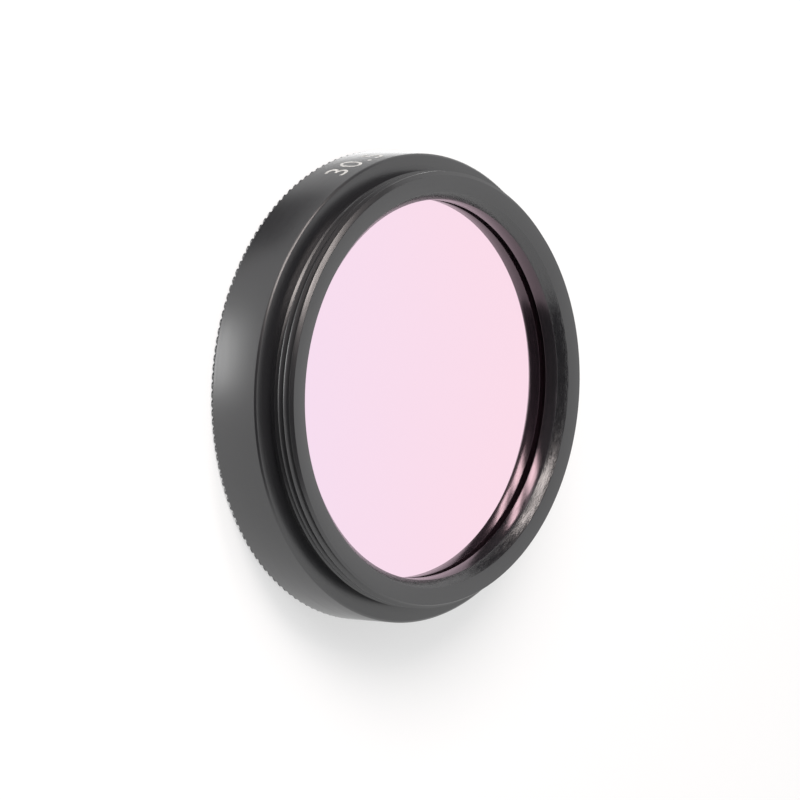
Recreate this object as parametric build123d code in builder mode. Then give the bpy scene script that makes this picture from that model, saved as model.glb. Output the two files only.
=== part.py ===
from build123d import *
import os

# Mounted optical filter: a turned aluminium cell with a screw thread at each end, a round
# filter glass that lies against the cell's front lip, and a slotted ring that holds it there.
# Millimetres. The optical axis is Z, the rear face lies on Z = 0 and the male thread is on top.

# Filter thread, M30.5 x 0.5. Crests and bores are plain here, at the standard's own diameters.
thread_diameter = 30.5
thread_pitch = 0.5
male_thread_depth = 0.6134 * thread_pitch
female_thread_depth = 0.5413 * thread_pitch
thread_lead_in = 0.3

# Body, the widest part of the cell
shoulder_width = 1.13
body_height = 4.2
shoulder_chamfer = 0.15
rear_chamfer = 0.08

# Coin edge along the rear rim
tooth_count = 160
tooth_depth = 0.24
tooth_length = 0.22

# Spigot with the male thread, and the run-out groove that parts it from the shoulder
spigot_length = 2.3
spigot_chamfer = 0.3
groove_floor_width = 0.35
groove_below_root = 0.09
groove_corner_radius = 0.1

# Front lip: a flat face, a rough cone, then a smooth land that narrows towards the glass
front_face_width = 1.14
cone_width = 0.55
cone_depth = 0.57
land_taper = 0.08
lip_thickness = 1.88
seat_edge_break = 0.29

# Filter glass, which reaches out under the lip
glass_overlap = 0.62
glass_thickness = 1.1
glass_bevel = 0.1
glass_clearance = 0.05

# Retaining ring, screwed in behind the glass
ring_width = 0.77
ring_thickness = 1.0
ring_edge_break = 0.1
ring_clearance = 0.03
ring_recess = 0.13
slot_count = 2
slot_width = 1.2
slot_depth = 0.5

# Radii that follow, from the thread outwards and inwards
crest_radius = thread_diameter / 2
body_radius = crest_radius + shoulder_width
groove_flank = male_thread_depth + groove_below_root
groove_radius = crest_radius - groove_flank
female_bore_radius = crest_radius - female_thread_depth
face_radius = crest_radius - spigot_chamfer
mouth_radius = face_radius - front_face_width
land_front_radius = mouth_radius - cone_width
land_radius = land_front_radius - land_taper
glass_radius = land_radius + glass_overlap
seat_radius = glass_radius + glass_clearance
ring_radius = seat_radius - ring_clearance
ring_bore_radius = ring_radius - ring_width

# Heights that follow, from the front face down
overall_height = body_height + spigot_length
thread_start = body_height + groove_floor_width + groove_flank
glass_front = overall_height - lip_thickness
glass_rear = glass_front - glass_thickness
ring_rear = glass_rear - ring_thickness
pocket_depth = ring_rear - ring_recess


# Cell: turned from bar, so its half section is spun about the optical axis
with BuildPart() as cell_body:
    with BuildSketch(Plane.XZ):
        with BuildLine():
            # outside, from the rear face up to the front face
            outside = Polyline(
                (female_bore_radius + thread_lead_in, 0),
                (body_radius - rear_chamfer, 0),
                (body_radius, rear_chamfer),
                (body_radius, body_height - shoulder_chamfer),
                (body_radius - shoulder_chamfer, body_height),
                (groove_radius, body_height),
                (groove_radius, body_height + groove_floor_width),
                (crest_radius, thread_start),
                (crest_radius, overall_height - spigot_chamfer),
                (face_radius, overall_height),
                (mouth_radius, overall_height),
            )
            # inside, from the mouth down past the glass seat to the rear thread
            Polyline(
                outside @ 1,
                (land_front_radius, overall_height - cone_depth),
                (land_radius, glass_front + seat_edge_break),
                (land_radius + seat_edge_break, glass_front),
                (seat_radius, glass_front),
                (seat_radius, pocket_depth),
                (female_bore_radius, pocket_depth),
                (female_bore_radius, thread_lead_in),
                outside @ 0,
            )
        make_face()
    revolve(axis=Axis.Z)

    # the grooving tool leaves a small radius where the shoulder meets the groove
    groove_corner = (
        cell_body.edges()
        .filter_by(GeomType.CIRCLE)
        .filter_by(lambda edge: abs(edge.radius - groove_radius) < groove_corner_radius / 2)
        .sort_by(Axis.Z)[0]
    )
    fillet(groove_corner, groove_corner_radius)

    # coin edge: square-cornered cuts side by side round the rear rim
    with BuildSketch():
        with PolarLocations(body_radius, tooth_count):
            RegularPolygon(tooth_depth, 4)
    extrude(amount=tooth_length, mode=Mode.SUBTRACT)
cell_body.part.label = "cell_body"


# Filter glass: a flat disc with its rims ground off, coated on its front face
with BuildPart() as filter_glass:
    with BuildSketch(Plane.XY.offset(glass_rear)):
        Circle(glass_radius)
    extrude(amount=glass_thickness)
    chamfer(filter_glass.edges().filter_by(GeomType.CIRCLE), glass_bevel)
filter_glass.part.label = "filter_glass"


# Retaining ring: a narrow turned ring with spanner slots across its rear face
with BuildPart() as retaining_ring:
    with BuildSketch(Plane.XY.offset(ring_rear)):
        Circle(ring_radius)
        Circle(ring_bore_radius, mode=Mode.SUBTRACT)
    extrude(amount=ring_thickness)
    chamfer(retaining_ring.edges().group_by(Axis.Z)[0], ring_edge_break)

    with BuildSketch(Plane.XY.offset(ring_rear)):
        with PolarLocations((ring_radius + ring_bore_radius) / 2, slot_count):
            Rectangle(2 * (ring_radius - ring_bore_radius), slot_width)
    extrude(amount=slot_depth, mode=Mode.SUBTRACT)
retaining_ring.part.label = "retaining_ring"


os.makedirs("parts", exist_ok=True)
export_step(cell_body.part, "parts/cell_body.step")
export_step(filter_glass.part, "parts/filter_glass.step")
export_step(retaining_ring.part, "parts/retaining_ring.step")
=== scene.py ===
import math

import bmesh
import bpy
from mathutils import Matrix, Vector


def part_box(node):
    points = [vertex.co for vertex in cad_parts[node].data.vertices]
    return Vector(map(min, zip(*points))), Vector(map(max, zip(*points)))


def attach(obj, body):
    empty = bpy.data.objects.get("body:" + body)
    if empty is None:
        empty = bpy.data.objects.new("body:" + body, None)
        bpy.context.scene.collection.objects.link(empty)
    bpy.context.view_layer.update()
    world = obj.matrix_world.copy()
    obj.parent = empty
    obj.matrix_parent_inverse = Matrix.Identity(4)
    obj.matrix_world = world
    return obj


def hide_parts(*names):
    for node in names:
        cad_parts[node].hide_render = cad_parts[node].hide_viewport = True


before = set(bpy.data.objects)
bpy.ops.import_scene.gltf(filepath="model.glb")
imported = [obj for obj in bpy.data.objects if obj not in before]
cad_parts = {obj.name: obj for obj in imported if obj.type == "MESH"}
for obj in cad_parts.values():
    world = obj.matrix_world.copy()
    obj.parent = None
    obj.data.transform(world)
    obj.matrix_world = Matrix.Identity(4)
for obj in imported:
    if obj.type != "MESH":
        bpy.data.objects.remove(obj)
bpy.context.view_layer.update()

MM = 0.001


# Cell: one piece, turned from aluminium bar and black anodised. It carries the coin edge, the
# shoulder, the male and female filter threads (M30.5 x 0.5), the front lip and the glass seat.

cell_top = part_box("cell_body")[1]
height = cell_top[2] / MM
body_radius = cell_top[0] / MM
shoulder_width = 1.13
body_height = 4.2
shoulder_chamfer = 0.15
rear_chamfer = 0.08
pitch = 0.5
male_depth = 0.6134 * pitch
female_depth = 0.5413 * pitch
spigot_chamfer = 0.3
groove_floor_width = 0.35
groove_below_root = 0.09
front_face_width = 1.14
cone_width = 0.55
cone_depth = 0.57
land_taper = 0.08
glass_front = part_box("filter_glass")[1][2] / MM
glass_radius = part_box("filter_glass")[1][0] / MM
ring_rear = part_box("retaining_ring")[0][2] / MM
seat_edge_break = 0.29
lead_in = 0.3
ring_recess = 0.13
glass_clearance = 0.05
edge_break = 0.03
thread_relief = 0.3

crest = body_radius - shoulder_width
male_root = crest - male_depth
groove = male_root - groove_below_root
mouth = crest - spigot_chamfer - front_face_width
land_front = mouth - cone_width
land = land_front - land_taper
seat = glass_radius + glass_clearance
female_crest = crest - female_depth
pocket = ring_rear - ring_recess
groove_top = body_height + groove_floor_width

TEETH = 160
COLUMNS_PER_TOOTH = 6
COLUMNS = TEETH * COLUMNS_PER_TOOTH
TOOTH_DEPTH = 0.24
TOOTH_LENGTH = 0.22
TOOTH_RUN_OUT = 0.03
tooth_pitch = 2 * math.pi * body_radius / TEETH

# a thread's four helical lines, as shares of its pitch: both edges of the crest, then of the root
CREST_EDGE = 1 / 16
ROOT_EDGE = 3 / 8
LINE_SHARES = (-CREST_EDGE, CREST_EDGE, ROOT_EDGE, 1 - ROOT_EDGE)
LINES = len(LINE_SHARES)

# vertices nearer than SAME_SPOT are merged, and one within SAME_PLACE of a wall lies on it
SAME_SPOT = 0.0005
SAME_PLACE = 0.001
SMOOTH_ANGLE = math.radians(35)

male_turns = math.ceil((height - groove_top) / pitch) + 1
female_end = pocket - thread_relief
female_turns = math.ceil(female_end / pitch) + 1


def rows(radius, low, high, count):
    """Evenly spaced section points, which the thread is cut into later."""
    return [(radius, low + (high - low) * k / (count + 1)) for k in range(1, count + 1)]


corner_points = [
    (body_radius - rear_chamfer, 0),
    (body_radius, rear_chamfer),
    (body_radius, TOOTH_LENGTH),
    (body_radius, TOOTH_LENGTH + TOOTH_RUN_OUT),
    (body_radius, body_height - shoulder_chamfer),
    (body_radius - shoulder_chamfer, body_height),
    (groove, body_height),
    (groove, groove_top),
]
male_rows = rows(crest, groove_top, height, LINES * male_turns)
mouth_points = [
    (crest - spigot_chamfer, height),
    (mouth, height),
    (land_front, height - cone_depth),
    (land, glass_front + seat_edge_break),
    (land + seat_edge_break, glass_front),
    (seat, glass_front),
    (seat, pocket),
    (female_crest, pocket),
    (female_crest, female_end),
]
female_rows = rows(female_crest, female_end, 0, LINES * female_turns)
section = corner_points + male_rows + mouth_points + female_rows + [(female_crest + lead_in, 0)]

outline = bpy.data.meshes.new("cell")
links = [(k, (k + 1) % len(section)) for k in range(len(section))]
outline.from_pydata([(r * MM, 0, z * MM) for r, z in section], links, [])
cell = bpy.data.objects.new("cell", outline)
bpy.context.collection.objects.link(cell)

bpy.ops.object.select_all(action="DESELECT")
bpy.context.view_layer.objects.active = cell
cell.select_set(True)
bpy.ops.object.mode_set(mode="EDIT")

# the turned corners are broken by a hair, as a deburred edge is
bpy.ops.mesh.select_mode(type="VERT")
bpy.ops.mesh.select_all(action="DESELECT")
section_mesh = bmesh.from_edit_mesh(outline)
broken = [
    (body_radius, body_height - shoulder_chamfer),
    (body_radius - shoulder_chamfer, body_height),
    (crest - spigot_chamfer, height),
    (mouth, height),
    (land_front, height - cone_depth),
    (land, glass_front + seat_edge_break),
    (female_crest, pocket),
]
for vert in section_mesh.verts:
    if any(math.hypot(vert.co.x / MM - r, vert.co.z / MM - z) < SAME_SPOT for r, z in broken):
        vert.select = True
bmesh.update_edit_mesh(outline)
bpy.ops.mesh.bevel(offset=edge_break * MM, segments=1, affect="VERTICES")

# the section is spun round the optical axis and its seam closed
bpy.ops.mesh.select_all(action="SELECT")
bpy.ops.mesh.spin(steps=COLUMNS, angle=2 * math.pi, center=(0, 0, 0), axis=(0, 0, 1))
bpy.ops.mesh.select_all(action="SELECT")
bpy.ops.mesh.remove_doubles(threshold=SAME_SPOT * MM)
bpy.ops.object.mode_set(mode="OBJECT")


def thread_form(turn_share, crest_radius, root_radius):
    """Radius of a 60 degree thread at a share of one turn: crest at 0, root at 0.5."""
    share = abs((turn_share + 0.5) % 1 - 0.5)
    flank = min(max((share - CREST_EDGE) / (ROOT_EDGE - CREST_EDGE), 0), 1)
    return crest_radius + (root_radius - crest_radius) * flank


def helix_height(line, angle, low):
    """Height of one of the thread's helical lines at an angle round the axis."""
    turn = line // LINES - 1
    return low + pitch * (turn + LINE_SHARES[line % LINES] + angle / (2 * math.pi))


def cut_male(line, angle):
    """The male thread, run out into the groove's flank and the front chamfer."""
    z = min(max(helix_height(line, angle, groove_top), groove_top), height)
    envelope = min(crest, groove + z - groove_top, crest - spigot_chamfer + height - z)
    share = (z - groove_top) / pitch - angle / (2 * math.pi)
    return min(envelope, thread_form(share, crest, male_root)), z


def cut_female(line, angle):
    """The female thread, from the lead-in down to a run-out short of the pocket's floor."""
    z = min(max(helix_height(line, angle, 0), 0), female_end)
    envelope = max(female_crest, female_crest + lead_in - z)
    share = z / pitch - angle / (2 * math.pi)
    depth = female_depth * min(1, (female_end - z) / (pitch / 2))
    return max(envelope, thread_form(share, female_crest, female_crest + depth)), z


def tooth_cut(angle):
    """Depth of the coin edge's cuts round the rim."""
    share = abs((angle * TEETH / (2 * math.pi) + 0.5) % 1 - 0.5)
    return TOOTH_DEPTH * max(0, 1 - share * tooth_pitch / TOOTH_DEPTH)


male_step = (height - groove_top) / (LINES * male_turns + 1)
female_step = female_end / (LINES * female_turns + 1)

# the spun rows of the two thread walls become threads, and the rear rim gets its coin edge
for vert in outline.vertices:
    radius = math.hypot(vert.co.x, vert.co.y) / MM
    angle = math.atan2(vert.co.y, vert.co.x) % (2 * math.pi)
    z = vert.co.z / MM
    male_line = (z - groove_top) / male_step
    female_line = (female_end - z) / female_step
    if abs(radius - crest) < SAME_PLACE and abs(male_line - round(male_line)) < SAME_PLACE:
        radius, z = cut_male(round(male_line) - 1, angle)
    elif (abs(radius - female_crest) < SAME_PLACE and z < female_end - SAME_PLACE
            and abs(female_line - round(female_line)) < SAME_PLACE):
        radius, z = cut_female(LINES * female_turns - round(female_line), angle)
    elif z < TOOTH_LENGTH + SAME_PLACE and radius > body_radius - rear_chamfer - SAME_PLACE:
        radius = min(radius, body_radius - tooth_cut(angle))
    vert.co = (radius * math.cos(angle) * MM, radius * math.sin(angle) * MM, z * MM)

bpy.ops.object.mode_set(mode="EDIT")
bpy.ops.mesh.select_all(action="SELECT")
bpy.ops.mesh.remove_doubles(threshold=SAME_SPOT * MM)
bpy.ops.mesh.normals_make_consistent(inside=False)
bpy.ops.object.mode_set(mode="OBJECT")
bpy.ops.object.shade_smooth_by_angle(angle=SMOOTH_ANGLE)

# the coin edge ends in a sharp ring, so that its shading throws no streaks up the plain wall
for edge in outline.edges:
    heights = [outline.vertices[end].co.z / MM for end in edge.vertices]
    if all(abs(z - TOOTH_LENGTH - TOOTH_RUN_OUT) < SAME_PLACE for z in heights):
        edge.use_edge_sharp = True
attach(cell, "root")
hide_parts("cell_body")


def linear(hex_colour):
    """An sRGB hex colour as the linear values that a shader socket takes."""
    values = [int(hex_colour[k:k + 2], 16) / 255 for k in (1, 3, 5)]
    return [v / 12.92 if v <= 0.04045 else ((v + 0.055) / 1.055) ** 2.4 for v in values] + [1]


def node(tree, kind, settings=None, **links):
    """Add a node, set its properties, and give its inputs a value or another node's output."""
    new = tree.nodes.new(kind)
    for name, value in (settings or {}).items():
        setattr(new, name, value)
    for name, value in links.items():
        socket = new.inputs[int(name[1:]) if name[1:].isdigit() else name.replace("_", " ")]
        if isinstance(value, bpy.types.NodeSocket):
            tree.links.new(value, socket)
        else:
            socket.default_value = value
    return new


# Black anodised turned aluminium: a near-black satin dye layer of high index, which goes pale
# towards grazing light, with fine turning marks that run round the axis. The marks' real
# spacing, about 0.05 mm, is drawn as 0.10 to 0.20 mm, because less would not show. The cone was
# turned with a coarse feed and glints in streaks; the land below it is bored smooth.
black_anodise = bpy.data.materials.new("black anodised turned aluminium")
rough_turned = bpy.data.materials.new("black anodised rough turned aluminium")
smooth_bored = bpy.data.materials.new("black anodised smooth bored aluminium")
ANODISE_INDEX = 1.8
CLOUD = 5
FINISHES = (
    # material, mark spacing mm, mark length mm, mark height mm, roughness low and high
    (black_anodise, 0.14, 4.0, 0.0012, 0.28, 0.36),
    (rough_turned, 0.10, 0.7, 0.0200, 0.14, 0.32),
    (smooth_bored, 0.20, 6.0, 0.0010, 0.16, 0.24),
)
for material, spacing, length, mark_height, roughness_low, roughness_high in FINISHES:
    material.use_nodes = True
    tree = material.node_tree
    place = node(tree, "ShaderNodeTexCoord").outputs["Object"]
    flat = node(tree, "ShaderNodeVectorMath", {"operation": "MULTIPLY"}, _0=place, _1=(1, 1, 0))
    radius = node(tree, "ShaderNodeVectorMath", {"operation": "LENGTH"}, _0=flat.outputs[0])
    around = node(tree, "ShaderNodeVectorMath", {"operation": "NORMALIZE"}, _0=flat.outputs[0])
    turn = node(tree, "ShaderNodeVectorMath", {"operation": "SCALE"}, _0=around.outputs[0],
                Scale=crest / length)
    along = node(tree, "ShaderNodeVectorMath", {"operation": "MULTIPLY"}, _0=place,
                 _1=(0, 0, 1 / (spacing * MM)))
    marked = node(tree, "ShaderNodeVectorMath", {"operation": "ADD"}, _0=turn.outputs[0],
                  _1=along.outputs[0])
    outward = node(tree, "ShaderNodeMath", {"operation": "MULTIPLY"},
                   _0=radius.outputs["Value"], _1=1 / (spacing * MM))
    marks = node(tree, "ShaderNodeTexNoise", {"noise_dimensions": "4D"}, Vector=marked.outputs[0],
                 W=outward.outputs[0], Scale=1, Detail=3, Roughness=0.6)
    bump = node(tree, "ShaderNodeBump", Height=marks.outputs[0], Strength=1,
                Distance=mark_height * MM)
    roughness = node(tree, "ShaderNodeMapRange", Value=marks.outputs[0], From_Min=0.3, From_Max=0.7,
                     To_Min=roughness_low, To_Max=roughness_high)
    cloud = node(tree, "ShaderNodeTexNoise", Vector=place, Scale=1 / (CLOUD * MM), Detail=2)
    dye = node(tree, "ShaderNodeMix", {"data_type": "RGBA"}, Factor=cloud.outputs[0])
    dye.inputs["A"].default_value = linear("#1b1b1d")
    dye.inputs["B"].default_value = linear("#232325")
    shader = tree.nodes["Principled BSDF"]
    shader.inputs["IOR"].default_value = ANODISE_INDEX
    tree.links.new(dye.outputs["Result"], shader.inputs["Base Color"])
    tree.links.new(roughness.outputs["Result"], shader.inputs["Roughness"])
    tree.links.new(bump.outputs["Normal"], shader.inputs["Normal"])
    cell.data.materials.append(material)

# Painted shade: a near-black matt finish on the seat's edge break under the lip, standing in for
# the shadow in the seam where the glass meets the seat. It reads as the thin dark line between
# the lip and its mirror image in the glass.
GRAIN = 0.3
painted_seam_shade = bpy.data.materials.new("painted seam shade")
painted_seam_shade.use_nodes = True
tree = painted_seam_shade.node_tree
place = node(tree, "ShaderNodeTexCoord").outputs["Object"]
grain = node(tree, "ShaderNodeTexNoise", Vector=place, Scale=1 / (GRAIN * MM), Detail=2)
depth = node(tree, "ShaderNodeMapRange", Value=grain.outputs[0], To_Min=0.7, To_Max=0.9)
shader = tree.nodes["Principled BSDF"]
shader.inputs["Base Color"].default_value = linear("#0e0c0e")
shader.inputs["Specular IOR Level"].default_value = 0.15
tree.links.new(depth.outputs["Result"], shader.inputs["Roughness"])
cell.data.materials.append(painted_seam_shade)

# the lip's inside has the other finishes and, on the seat, the painted seam shade, which are
# numbered in the order of their adding
CONE, LAND, SEAT = 1, 2, 3
cone_foot = height - cone_depth
land_foot = glass_front + seat_edge_break
for face in cell.data.polygons:
    radius = math.hypot(face.center.x, face.center.y) / MM
    z = face.center.z / MM
    if radius < mouth + edge_break and z < height - edge_break / 2:
        if z > cone_foot:
            face.material_index = CONE
        elif land_foot < z < cone_foot:
            face.material_index = LAND
        elif glass_front - edge_break < z < land_foot:
            # the seat's edge break takes the painted seam shade
            face.material_index = SEAT


# Printed mark: plain digits, the thread's size, pad printed in white ink on the body's rim with
# their tops towards the rear face. The ink is a thin flat film.
DIGIT_HEIGHT = 1.9
DIGIT_START = math.radians(113)
DIGIT_MIDDLE = 2.25
INK = 0.01
STRIP = 0.25
CAP_SHARE = 0.73
LETTER_SPACING = 1.15

bpy.ops.object.select_all(action="DESELECT")
bpy.ops.object.text_add()
digits = bpy.context.object
digits.name = "printed_digits"
digits.data.body = "30.5"
digits.data.size = DIGIT_HEIGHT / CAP_SHARE * MM
digits.data.resolution_u = 8
digits.data.space_character = LETTER_SPACING
bpy.ops.object.convert(target="MESH")
digits = bpy.context.object
bpy.ops.object.mode_set(mode="EDIT")
reach = max(vert.co.x for vert in bmesh.from_edit_mesh(digits.data).verts)
for strip in range(1, int(reach / (STRIP * MM)) + 1):
    bpy.ops.mesh.select_all(action="SELECT")
    bpy.ops.mesh.bisect(plane_co=(strip * STRIP * MM, 0, 0), plane_no=(1, 0, 0))
bpy.ops.mesh.select_all(action="SELECT")
bpy.ops.mesh.remove_doubles(threshold=SAME_SPOT * MM)
bpy.ops.object.mode_set(mode="OBJECT")
for vert in digits.data.vertices:
    angle = DIGIT_START - vert.co.x / (body_radius * MM)
    z = DIGIT_MIDDLE * MM + DIGIT_HEIGHT / 2 * MM - vert.co.y
    radius = (body_radius + INK) * MM
    vert.co = (radius * math.cos(angle), radius * math.sin(angle), z)
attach(digits, "root")

# White pad-printing ink: matt and slightly thin, so that it looks grey where the black shows
# through in specks.
SPECK = 0.25
ink = bpy.data.materials.new("white pad printed ink")
ink.use_nodes = True
tree = ink.node_tree
place = node(tree, "ShaderNodeTexCoord").outputs["Object"]
specks = node(tree, "ShaderNodeTexNoise", Vector=place, Scale=1 / (SPECK * MM), Detail=3)
cover = node(tree, "ShaderNodeMapRange", Value=specks.outputs[0], From_Min=0.35, From_Max=0.6,
             To_Min=0, To_Max=1)
tint = node(tree, "ShaderNodeMix", {"data_type": "RGBA"}, Factor=cover.outputs["Result"])
tint.inputs["A"].default_value = linear("#8c8c8a")
tint.inputs["B"].default_value = linear("#bcbcb9")
tree.links.new(tint.outputs["Result"], tree.nodes["Principled BSDF"].inputs["Base Color"])
tree.nodes["Principled BSDF"].inputs["Roughness"].default_value = 0.6
digits.data.materials.append(ink)


# Filter glass: a polished disc with a pale pink interference coating on its front. It lies
# against the seat under the front lip and keeps the shape of its CAD solid.
glass_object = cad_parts["filter_glass"]

# Interference-coated polished glass: reflects like a mirror, pale pink, a little more violet
# where the stack is thicker towards one side, with a very faint polishing haze.
DRIFT = 20
DRIFT_SHARE = 0.3
HAZE = 2
glass = bpy.data.materials.new("interference coated polished glass")
glass.use_nodes = True
tree = glass.node_tree
place = node(tree, "ShaderNodeTexCoord").outputs["Object"]
across = node(tree, "ShaderNodeSeparateXYZ", Vector=place)
side = node(tree, "ShaderNodeMapRange", Value=across.outputs["X"],
            From_Min=-glass_radius * MM, From_Max=glass_radius * MM, To_Min=0, To_Max=1)
drift = node(tree, "ShaderNodeTexNoise", Vector=place, Scale=1 / (DRIFT * MM), Detail=1)
shift = node(tree, "ShaderNodeMath", {"operation": "MULTIPLY_ADD"},
             _0=drift.outputs[0], _1=DRIFT_SHARE, _2=side.outputs["Result"])
tint = node(tree, "ShaderNodeMix", {"data_type": "RGBA"}, Factor=shift.outputs[0])
tint.inputs["A"].default_value = linear("#f6def1")
tint.inputs["B"].default_value = linear("#fbdcea")
haze = node(tree, "ShaderNodeTexNoise", Vector=place, Scale=1 / (HAZE * MM), Detail=4)
polish = node(tree, "ShaderNodeMapRange", Value=haze.outputs[0], From_Min=0.3, From_Max=0.7,
              To_Min=0.02, To_Max=0.04)
shader = tree.nodes["Principled BSDF"]
shader.inputs["Metallic"].default_value = 1
tree.links.new(tint.outputs["Result"], shader.inputs["Base Color"])
tree.links.new(polish.outputs["Result"], shader.inputs["Roughness"])
glass_object.data.materials.clear()
glass_object.data.materials.append(glass)


# Retaining ring: a narrow turned ring, screwed in behind the glass, with two spanner slots
# across its rear face.
ring_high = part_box("retaining_ring")[1]
ring_outside = ring_high[0] / MM
ring_width = 0.77
ring_edge_break = 0.1
slot_width = 1.2
slot_depth = 0.5
RING_COLUMNS = 360

ring_outline = bpy.data.meshes.new("lock_ring")
ring_top = ring_high[2] / MM
ring_section = [
    (ring_outside - ring_width, ring_rear + ring_edge_break),
    (ring_outside - ring_width + ring_edge_break, ring_rear),
    (ring_outside - ring_edge_break, ring_rear),
    (ring_outside, ring_rear + ring_edge_break),
    (ring_outside, ring_top),
    (ring_outside - ring_width, ring_top),
]
links = [(k, (k + 1) % len(ring_section)) for k in range(len(ring_section))]
ring_outline.from_pydata([(r * MM, 0, z * MM) for r, z in ring_section], links, [])
ring = bpy.data.objects.new("lock_ring", ring_outline)
bpy.context.collection.objects.link(ring)
bpy.ops.object.select_all(action="DESELECT")
bpy.context.view_layer.objects.active = ring
ring.select_set(True)
bpy.ops.object.mode_set(mode="EDIT")
bpy.ops.mesh.select_all(action="SELECT")
bpy.ops.mesh.spin(steps=RING_COLUMNS, angle=2 * math.pi, center=(0, 0, 0), axis=(0, 0, 1))
bpy.ops.mesh.select_all(action="SELECT")
bpy.ops.mesh.remove_doubles(threshold=SAME_SPOT * MM)
bpy.ops.mesh.normals_make_consistent(inside=False)
bpy.ops.object.mode_set(mode="OBJECT")

# one bar across the whole ring cuts both slots
bpy.ops.object.select_all(action="DESELECT")
bpy.ops.mesh.primitive_cube_add(size=1, location=(0, 0, ring_rear * MM))
bar = bpy.context.object
bar.scale = (3 * ring_outside * MM, slot_width * MM, 2 * slot_depth * MM)
bpy.ops.object.transform_apply(location=True, scale=True)
bpy.context.view_layer.objects.active = ring
cut = ring.modifiers.new("slots", "BOOLEAN")
cut.operation = "DIFFERENCE"
cut.object = bar
bpy.ops.object.modifier_apply(modifier="slots")
bpy.data.objects.remove(bar)
bpy.ops.object.select_all(action="DESELECT")
ring.select_set(True)
bpy.ops.object.shade_smooth_by_angle(angle=SMOOTH_ANGLE)
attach(ring, "root")
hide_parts("retaining_ring")
ring.data.materials.append(black_anodise)


# Floor: plain white paper. The camera sees it as the white background with the part's soft
# shadow on it, and the metal and the glass see the studio's white in its place. It lies a hair
# below the rear face, and from underneath it is clear and lets the light through.
FLOOR_SIZE = 4
FLOOR_GAP = 0.02
PAPER_GLOW = 0.5
bpy.ops.object.select_all(action="DESELECT")
bpy.ops.mesh.primitive_plane_add(size=FLOOR_SIZE, location=(0, 0, -FLOOR_GAP * MM))
floor = bpy.context.object
floor.name = "floor"
floor.visible_glossy = False
floor.visible_shadow = False
paper = bpy.data.materials.new("white paper")
paper.use_nodes = True
tree = paper.node_tree
matt = tree.nodes["Principled BSDF"]
matt.inputs["Base Color"].default_value = linear("#f4f4f4")
matt.inputs["Roughness"].default_value = 1
glow = node(tree, "ShaderNodeEmission", Strength=1)
lift = node(tree, "ShaderNodeMixShader", Fac=PAPER_GLOW, _1=matt.outputs[0], _2=glow.outputs[0])
seen = node(tree, "ShaderNodeLightPath")
choose = node(tree, "ShaderNodeMixShader", Fac=seen.outputs["Is Camera Ray"], _1=matt.outputs[0],
              _2=lift.outputs[0])
side_seen = node(tree, "ShaderNodeNewGeometry")
clear = node(tree, "ShaderNodeBsdfTransparent")
sheet = node(tree, "ShaderNodeMixShader", Fac=side_seen.outputs["Backfacing"],
             _1=choose.outputs[0], _2=clear.outputs[0])
tree.links.new(sheet.outputs[0], tree.nodes["Material Output"].inputs["Surface"])
floor.data.materials.append(paper)

# Studio: white all round for the camera, the metal and the glass. It lights matt surfaces at a
# lower level, so that the part's shadow keeps some depth.
SURROUND_LIGHT = 0.6
world = bpy.data.worlds.new("studio")
bpy.context.scene.world = world
world.use_nodes = True
tree = world.node_tree
bright = tree.nodes["Background"]
bright.inputs["Color"].default_value = (1, 1, 1, 1)
bright.inputs["Strength"].default_value = 1
soft = node(tree, "ShaderNodeBackground", Color=(1, 1, 1, 1), Strength=SURROUND_LIGHT)
ray = node(tree, "ShaderNodeLightPath")
direct = node(tree, "ShaderNodeMath", {"operation": "MAXIMUM"},
              _0=ray.outputs["Is Camera Ray"], _1=ray.outputs["Is Glossy Ray"])
plain = node(tree, "ShaderNodeMath", {"operation": "MAXIMUM"},
             _0=direct.outputs[0], _1=ray.outputs["Is Transmission Ray"])
studio = node(tree, "ShaderNodeMixShader", Fac=plain.outputs[0], _1=soft.outputs[0],
              _2=bright.outputs[0])
tree.links.new(studio.outputs[0], tree.nodes["World Output"].inputs["Surface"])

# Light: two warm softboxes high on the marked side, a soft lamp that makes the shadow, and cards
# that only reflections see. Low down beside the body stand two bright ones and a black one, and
# high up stand the black camera side and two black flags, which keep the lip's inside dark.
CARD_RADIUS = 330
LAMP_RADIUS = 280
BODY_RISE = -41.6
LIP_RISE = 41.6


def towards(turn_degrees, rise_degrees):
    """Direction out of the part: turned from +X towards +Y, and risen above the floor."""
    turn, rise = math.radians(turn_degrees), math.radians(rise_degrees)
    return Vector((math.cos(turn) * math.cos(rise), math.sin(turn) * math.cos(rise), math.sin(rise)))


CARDS = (
    # name, turn, rise, width and height in mm, strength
    ("body_card", 165, BODY_RISE, 140, 150, 5.0),
    ("body_flag", 95, BODY_RISE, 180, 200, 0.0),
    ("top_card", 10, BODY_RISE, 240, 240, 3.5),
    ("camera_flag", 200, LIP_RISE, 310, 400, 0.0),
    ("left_flag", 150, LIP_RISE, 310, 400, 0.0),
    ("low_flag", 84, LIP_RISE, 310, 400, 0.0),
)
for name, turn_degrees, rise_degrees, width, tall, strength in CARDS:
    out = towards(turn_degrees, rise_degrees)
    bpy.ops.object.select_all(action="DESELECT")
    bpy.ops.mesh.primitive_plane_add(size=1)
    card = bpy.context.object
    card.name = name
    card.matrix_world = (Matrix.Translation(out * CARD_RADIUS * MM)
                         @ out.to_track_quat("Z", "Y").to_matrix().to_4x4()
                         @ Matrix.Diagonal((width * MM, tall * MM, 1, 1)))
    card.visible_camera = False
    card.visible_diffuse = False
    card.visible_shadow = False
    card.visible_transmission = False
    card.visible_volume_scatter = False
    board = bpy.data.materials.new(name)
    board.use_nodes = True
    board.node_tree.nodes.clear()
    board.cycles.emission_sampling = "NONE"
    glow = node(board.node_tree, "ShaderNodeEmission", Strength=strength)
    node(board.node_tree, "ShaderNodeOutputMaterial", Surface=glow.outputs[0])
    card.data.materials.append(board)

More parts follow.
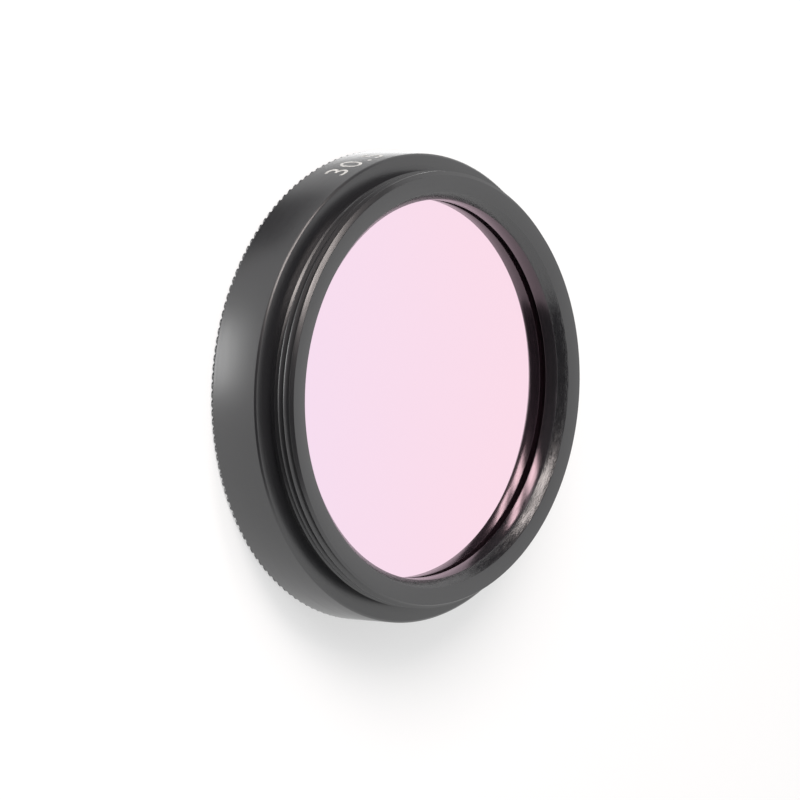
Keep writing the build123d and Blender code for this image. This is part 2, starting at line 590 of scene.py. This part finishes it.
WARM = (1, 0.9, 0.87)
SOFTBOXES = (
    # name, turn, rise, width and height in mm, radiance
    ("softbox_left", 123, 42, 60, 140, 11.0),
    ("softbox_right", 98, 42, 46, 140, 10.0),
)
for name, turn_degrees, rise_degrees, width, tall, radiance in SOFTBOXES:
    out = towards(turn_degrees, rise_degrees)
    lamp_data = bpy.data.lights.new(name, "AREA")
    lamp_data.shape = "RECTANGLE"
    lamp_data.size = width * MM
    lamp_data.size_y = tall * MM
    lamp_data.energy = radiance * math.pi * width * MM * tall * MM
    lamp_data.color = WARM
    lamp = bpy.data.objects.new(name, lamp_data)
    bpy.context.collection.objects.link(lamp)
    lamp.matrix_world = (Matrix.Translation(out * LAMP_RADIUS * MM)
                         @ out.to_track_quat("Z", "Y").to_matrix().to_4x4())

# the soft lamp throws the shadow down and to the right in the picture, and no reflection shows it
FILL_SIZE = 160
FILL_RADIANCE = 5
FILL_TURN = 130
FILL_RISE = 40
fill_data = bpy.data.lights.new("fill", "AREA")
fill_data.size = FILL_SIZE * MM
fill_data.energy = FILL_RADIANCE * math.pi * FILL_SIZE * MM * FILL_SIZE * MM
fill = bpy.data.objects.new("fill", fill_data)
bpy.context.collection.objects.link(fill)
fill.visible_glossy = False
out = towards(FILL_TURN, FILL_RISE)
fill.matrix_world = (Matrix.Translation(out * LAMP_RADIUS * MM)
                     @ out.to_track_quat("Z", "Y").to_matrix().to_4x4())

# Camera: far off with a long lens, turned and raised as the photograph was taken, with the
# part's front centre at the same place in the picture.
AZIMUTH = math.radians(48.25)
ELEVATION = math.radians(4.73)
DISTANCE = 1500
PX_PER_MM = 14.373
PICTURE_PX = 800
FRONT_CENTRE_PX = (437.8, 390.1)
SENSOR = 36
NEAREST_SEEN = 10

right = Vector((math.cos(AZIMUTH), 0, math.sin(AZIMUTH)))
back = Vector((-math.sin(AZIMUTH) * math.cos(ELEVATION), math.sin(ELEVATION),
               math.cos(AZIMUTH) * math.cos(ELEVATION)))
up = back.cross(right)
sideways = (FRONT_CENTRE_PX[0] - PICTURE_PX / 2) / PX_PER_MM
upwards = (PICTURE_PX / 2 - FRONT_CENTRE_PX[1]) / PX_PER_MM
eye = Vector((0, 0, height)) + back * DISTANCE - right * sideways - up * upwards
camera_data = bpy.data.cameras.new("camera")
camera_data.sensor_width = SENSOR
camera_data.lens = PX_PER_MM * DISTANCE / PICTURE_PX * SENSOR
camera_data.clip_start = NEAREST_SEEN * MM
camera = bpy.data.objects.new("camera", camera_data)
bpy.context.collection.objects.link(camera)
camera.matrix_world = (Matrix.Translation(eye * MM)
                       @ Matrix((right, up, back)).transposed().to_4x4())
bpy.context.scene.camera = camera
bpy.context.scene.view_settings.view_transform = "Standard"
